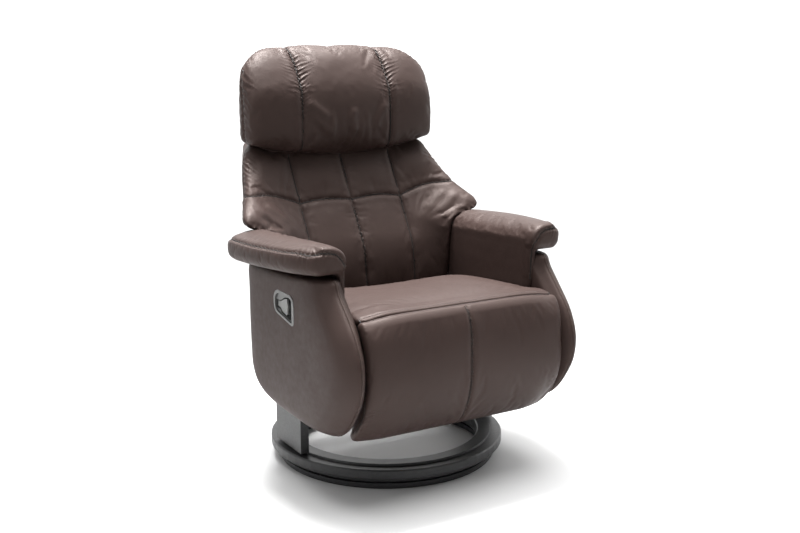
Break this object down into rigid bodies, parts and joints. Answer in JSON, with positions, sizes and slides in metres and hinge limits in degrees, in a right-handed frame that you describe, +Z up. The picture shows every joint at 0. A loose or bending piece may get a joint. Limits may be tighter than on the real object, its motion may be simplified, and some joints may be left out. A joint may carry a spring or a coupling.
{
  "type": "recliner armchair",
  "caption": "Swivel recliner armchair with padded arms, a reclining back with a tilting headrest, and a footrest that swings up from under the seat; round base ring.",
  "frame": {"origin": "on the floor, on the swivel axis", "axes": "+Z up, -Y to the front of the seat, +X to the side away from the release handle"},
  "size_m": [0.8002, 0.7978, 1.036],
  "materials": {
    "leather": "satin",
    "lining": "matte",
    "wood": "satin",
    "plywood": "matte",
    "steel": "satin",
    "zinc": "satin",
    "rubber": "matte",
    "plastic": "satin",
    "grey_plastic": "satin",
    "webbing": "matte"
  },
  "bodies": {
    "base": {"grip_ring": "rubber", "floor_ring": "steel", "bearing_cage": "plastic"},
    "chair": {"upper_race": "steel", "base_ring": "wood", "upright_left": "wood", "upright_right": "wood", "upright_screw_left": "zinc", "upright_screw_right": "zinc", "side_plate_left": "steel", "side_plate_right": "steel", "plate_bolt_left": "zinc", "plate_bolt_right": "zinc", "seat_rail_left": "plywood", "seat_rail_right": "plywood", "seat_rail_front": "plywood", "seat_rail_rear": "plywood", "cross_tube_front": "steel", "cross_tube_rear": "steel", "recline_shaft": "zinc", "seat_spring_1": "zinc", "seat_spring_2": "zinc", "seat_spring_3": "zinc", "seat_cushion": "leather", "side_panel_left": "leather", "side_panel_right": "leather", "inner_arm_left": "leather", "inner_arm_right": "leather", "arm_pad_left": "leather", "arm_pad_right": "leather", "handle_bezel": "grey_plastic", "paddle_pin": "zinc", "release_cable": "rubber", "latch_block": "zinc", "torsion_spring": "zinc"},
    "paddle": {"release_paddle": "grey_plastic"},
    "backrest": {"back_tube_left": "steel", "back_tube_right": "steel", "back_bar_top": "steel", "back_bar_bottom": "steel", "back_webbing_1": "webbing", "back_webbing_2": "webbing", "back_cushion": "leather", "back_shell": "lining", "headrest_bracket_left": "steel", "headrest_bracket_right": "steel"},
    "headrest": {"headrest_arm_left": "steel", "headrest_arm_right": "steel", "headrest_board": "plywood", "headrest_cushion": "leather"},
    "legrest": {"legrest_cushion": "leather", "legrest_board": "plywood", "legrest_lug_left": "steel", "legrest_lug_right": "steel"},
    "drive": {"torque_tube": "steel", "crank_left": "steel", "crank_right": "steel"},
    "link_left": {"push_link_left": "steel"},
    "link_right": {"push_link_right": "steel"}
  },
  "joints": [
    {"name": "swivel", "type": "hinge", "parent": "base", "child": "chair", "pos_m": [0, 0, 0], "axis": [0, 0, 1], "continuous": true},
    {"name": "recline", "type": "hinge", "parent": "chair", "child": "backrest", "pos_m": [0, 0.2022, 0.345], "axis": [-1, 0, 0], "range_deg": [0, 38]},
    {"name": "headrest_tilt", "type": "hinge", "parent": "backrest", "child": "headrest", "pos_m": [0, 0.235, 0.785], "axis": [1, 0, 0], "range_deg": [0, 30]},
    {"name": "legrest_lift", "type": "hinge", "parent": "chair", "child": "legrest", "pos_m": [0, -0.326, 0.44], "axis": [-1, 0, 0], "range_deg": [0, 85]},
    {"name": "drive_turn", "type": "hinge", "parent": "chair", "child": "drive", "pos_m": [0, -0.02, 0.27], "axis": [-1, 0, 0], "range_deg": [0, 85]},
    {"name": "link_left_turn", "type": "hinge", "parent": "drive", "child": "link_left", "pos_m": [0, 0, 0.22], "axis": [-1, 0, 0], "range_deg": [-85, 0]},
    {"name": "link_right_turn", "type": "hinge", "parent": "drive", "child": "link_right", "pos_m": [0, 0, 0.22], "axis": [-1, 0, 0], "range_deg": [-85, 0]},
    {"name": "paddle_pull", "type": "hinge", "parent": "chair", "child": "paddle", "pos_m": [-0.32, -0.066, 0.4435], "axis": [0, 0, -1], "range_deg": [0, 20], "stiffness_Nm_per_rad": 0.3, "springref_deg": -5.73}
  ],
  "couplings": [
    {"joint": "drive_turn", "follows": "legrest_lift", "ratio": 1},
    {"joint": "link_left_turn", "follows": "legrest_lift", "ratio": -1},
    {"joint": "link_right_turn", "follows": "legrest_lift", "ratio": -1}
  ]
}
